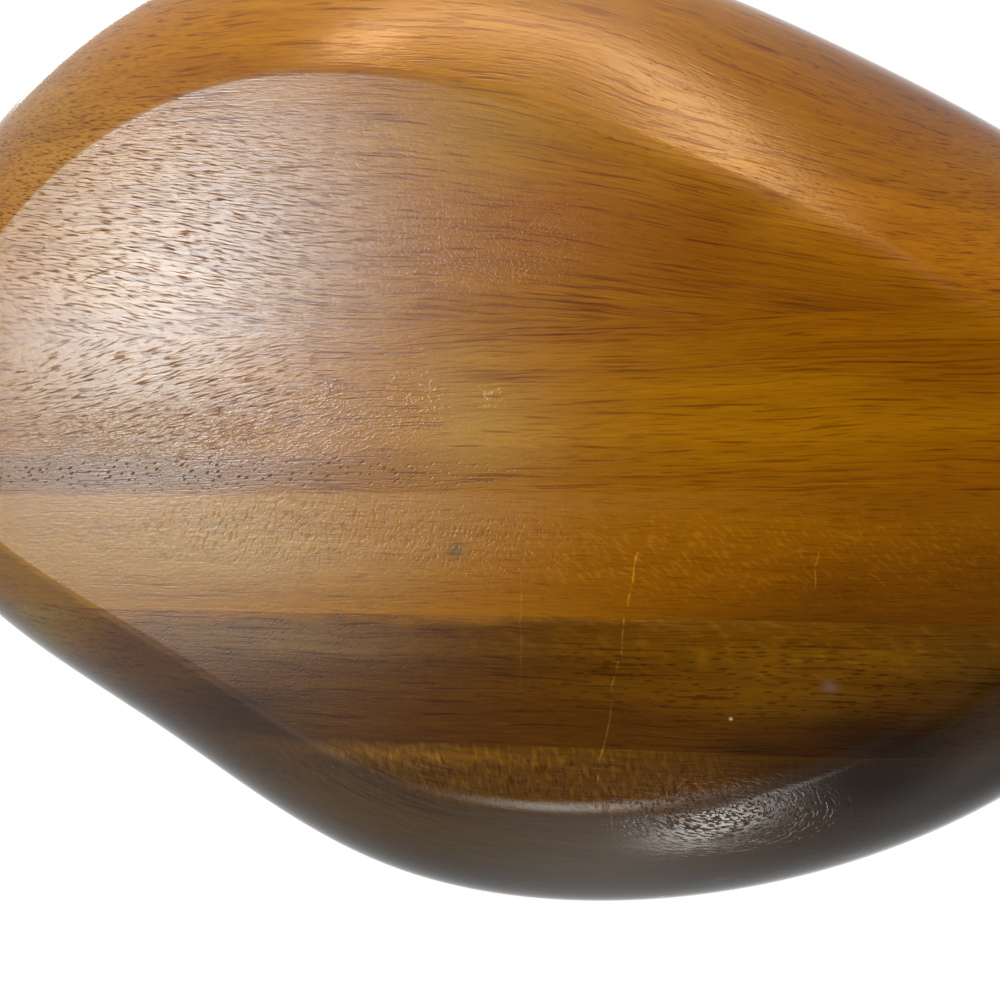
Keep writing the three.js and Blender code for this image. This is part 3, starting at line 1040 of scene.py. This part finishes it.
# Room round the dish, which only reflections see: pale walls, dark below, a window
# to the left and soft lights to the front and rear. Directions are seen from the dish.
roomSet = {"radius": 2.5, "segments": 64, "rings": 32, "tint": (0.95, 0.98, 1, 1),
           "left": 0.96, "right": 0.3, "front": 0.95, "rear": 0.80, "wallGain": 50,
           "frontDark": (0.08, -0.79), "rearDark": (0.49, -0.68), "darkGain": 4,
           "clearAbove": 0.6, "clearOver": 0.2}
roomLights = {
    "windowPane": {"towards": (-0.70, 0.05, -1), "turn": 30, "wide": 0.22, "tall": 0.23,
                   "power": 6, "strength": 1.7, "tint": (0.79, 0.94, 1.0)},
    "windowVeil": {"towards": (-0.74, -0.10, -1), "turn": -28, "wide": 0.27, "tall": 0.285,
                   "power": 8, "strength": 1.2, "tint": (0.79, 0.94, 1.0)},
    "windowCore": {"towards": (-0.563, 0.028, -1), "turn": 40, "wide": 0.105, "tall": 0.068,
                   "power": 2, "strength": 18, "tint": (0.79, 0.93, 1.0)},
    "windowFoot": {"towards": (-0.46, 0.17, -1), "turn": 66, "wide": 0.52, "tall": 0.10,
                   "power": 2, "strength": 0.77, "tint": (0.79, 0.94, 1.0)},
    "frontStreak": {"towards": (-0.50, -1.43, -1), "turn": 9, "wide": 0.08, "tall": 0.03,
                    "power": 2, "strength": 17, "tint": (1.0, 0.66, 0.38)},
    "frontBand": {"towards": (-0.18, -1.60, -1), "turn": -21, "wide": 0.20, "tall": 0.095,
                  "power": 2, "strength": 7.8, "tint": (1.0, 0.66, 0.38)},
    "frontRight": {"towards": (0.23, -1.06, -1), "turn": -68, "wide": 0.17, "tall": 0.048,
                   "power": 2, "strength": 11, "tint": (1.0, 0.65, 0.35)},
    "frontHigh": {"towards": (0.042, -0.966, -0.257), "turn": 12, "wide": 0.12, "tall": 0.5,
                  "power": 2, "strength": 1.2, "tint": (1.0, 0.97, 0.95)},
    "frontHaze": {"towards": (-0.572, -0.60, -1), "turn": -11, "wide": 0.64, "tall": 0.24,
                  "power": 2, "strength": 1.1, "tint": (0.9, 0.95, 1.0)},
    "gapHaze": {"towards": (-0.66, 0.52, -0.54), "turn": 0, "wide": 0.3, "tall": 0.25,
                "power": 2, "strength": 0.7, "tint": (0.95, 0.97, 1.0)},
    "rearHaze": {"towards": (-0.40, 2.43, -1), "turn": -6, "wide": 0.22, "tall": 0.7,
                 "power": 2, "strength": 0.61, "tint": (0.95, 0.98, 1.0)},
    "rearLow": {"towards": (-0.33, 0.85, -1), "turn": -2, "wide": 0.085, "tall": 0.15,
                "power": 2, "strength": 5, "tint": (1.0, 0.97, 0.92)},
    "rearHigh": {"towards": (-0.13, 2.75, -1), "turn": 35, "wide": 0.075, "tall": 0.043,
                 "power": 2, "strength": 13, "tint": (1.0, 0.97, 0.92)},
    "rearCurl": {"towards": (0.02, 1.6, -1), "turn": 65, "wide": 0.09, "tall": 0.035,
                 "power": 2, "strength": 5, "tint": (1.0, 0.97, 0.92)},
    "rearRight": {"towards": (0.354, 0.922, -0.156), "turn": 61, "wide": 0.23, "tall": 0.15,
                  "power": 2, "strength": 0.3, "tint": (1.0, 0.97, 0.92)},
}


# A soft-edged light, wide and tall as shares of its distance
def roomLight(sheet, heading, settings):
    middle = Vector(settings["towards"]).normalized()
    across = (Vector((1, 0, 0)) - middle * middle.x).normalized()
    across = Matrix.Rotation(math.radians(settings["turn"]), 3, middle) @ across
    up = across.cross(middle)
    front = sheet.vector("DOT_PRODUCT", heading, middle).of("Value").above(0.05)
    wide = sheet.vector("DOT_PRODUCT", heading, across).of("Value") / front / settings["wide"]
    tall = sheet.vector("DOT_PRODUCT", heading, up).of("Value") / front / settings["tall"]
    glow = bell(wide, settings["power"]) * bell(tall, settings["power"]) * settings["strength"]
    sockets = {"Color": (*settings["tint"], 1), "Strength": glow}
    return sheet.add("ShaderNodeEmission", {}, sockets)


# A step from 0 to 1 where the heading crosses zero
def crossing(heading, gain):
    return (heading * gain + 0.5).held()


def wallLight(heading, low, high):
    return heading * heading * (crossing(heading, roomSet["wallGain"]) * (high - low) + low)


def roomShell(sheet):
    place = sheet.add("ShaderNodeNewGeometry").of("Position")
    heading = sheet.vector("NORMALIZE", place)
    place = sheet.add("ShaderNodeSeparateXYZ", {}, {0: heading})
    x, y, z = place, place.of("Y"), place.of("Z")
    level = (x * x + y * y).above(0.01)  # kept off zero overhead
    wall = wallLight(x, roomSet["left"], roomSet["right"])
    wall = wall + wallLight(y, roomSet["front"], roomSet["rear"])
    darkness = []
    for side in ("frontDark", "rearDark"):
        high, low = roomSet[side]
        darkness.append(((z - high) / (low - high)).held())
    toRear = crossing(y, roomSet["darkGain"])
    lower = darkness[0] + toRear * (darkness[1] - darkness[0])
    light = sheet.add("ShaderNodeEmission", {}, {
        "Color": roomSet["tint"], "Strength": wall / level * (1 - lower),
    })
    for settings in roomLights.values():
        glow = roomLight(sheet, heading, settings)
        light = sheet.add("ShaderNodeAddShader", {}, {0: light, 1: glow})
    clear = sheet.add("ShaderNodeBsdfTransparent")
    above = ((z - roomSet["clearAbove"]) / roomSet["clearOver"]).held()
    return sheet.add("ShaderNodeMixShader", {}, {0: above, 1: light, 2: clear})


def stageBall(name, settings, shader):
    bpy.ops.mesh.primitive_uv_sphere_add(
        radius=settings["radius"], segments=settings["segments"], ring_count=settings["rings"],
    )
    made = bpy.context.object
    made.name = name
    dressStage(made, shader)


stageBall("roomShell", roomSet, roomShell)
print("stage set")
